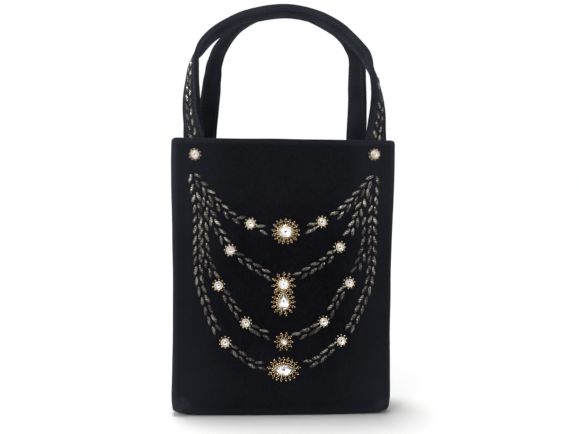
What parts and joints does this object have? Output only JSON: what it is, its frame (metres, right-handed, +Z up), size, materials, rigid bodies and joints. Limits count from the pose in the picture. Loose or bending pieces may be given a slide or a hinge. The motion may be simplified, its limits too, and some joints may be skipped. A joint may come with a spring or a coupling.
{
  "type": "mini tote bag",
  "caption": "Small flat-based velvet evening tote with two padded strap handles, folded gussets and a leaf festoon set with crystals in gold cups on its front.",
  "frame": {"origin": "middle of the whole object's footprint, on the surface that the base stands on", "axes": "+Z up, the decorated front faces -Y, +X to the viewer's right"},
  "size_m": [0.1792, 0.0604, 0.3305],
  "materials": {
    "velvet": "black cotton velvet with a short dense pile",
    "gold": "gold-plated, bright with a slight patina",
    "crystal": "cut and polished, with a foil back",
    "thread": "lurex embroidery thread, satin stitched"
  },
  "bodies": {
    "root": {"bag_body": "velvet", "handle_front": "velvet", "handle_back": "velvet", "oval_setting": "gold", "oval_crystal": "crystal", "round_setting": "gold", "round_crystal": "crystal", "pear_setting": "gold", "pear_crystal": "crystal", "flower_setting": "gold", "flower_crystal": "crystal", "marquise_setting": "gold", "marquise_crystal": "crystal", "rosette_01_setting": "gold", "rosette_01_crystal": "crystal", "rosette_02_setting": "gold", "rosette_02_crystal": "crystal", "rosette_03_setting": "gold", "rosette_03_crystal": "crystal", "rosette_04_setting": "gold", "rosette_04_crystal": "crystal", "rosette_05_setting": "gold", "rosette_05_crystal": "crystal", "rosette_06_setting": "gold", "rosette_06_crystal": "crystal", "rosette_07_setting": "gold", "rosette_07_crystal": "crystal", "rosette_08_setting": "gold", "rosette_08_crystal": "crystal", "rosette_09_setting": "gold", "rosette_09_crystal": "crystal", "rosette_10_setting": "gold", "rosette_10_crystal": "crystal", "rosette_11_setting": "gold", "rosette_11_crystal": "crystal", "rosette_12_setting": "gold", "rosette_12_crystal": "crystal"}
  },
  "joints": []
}
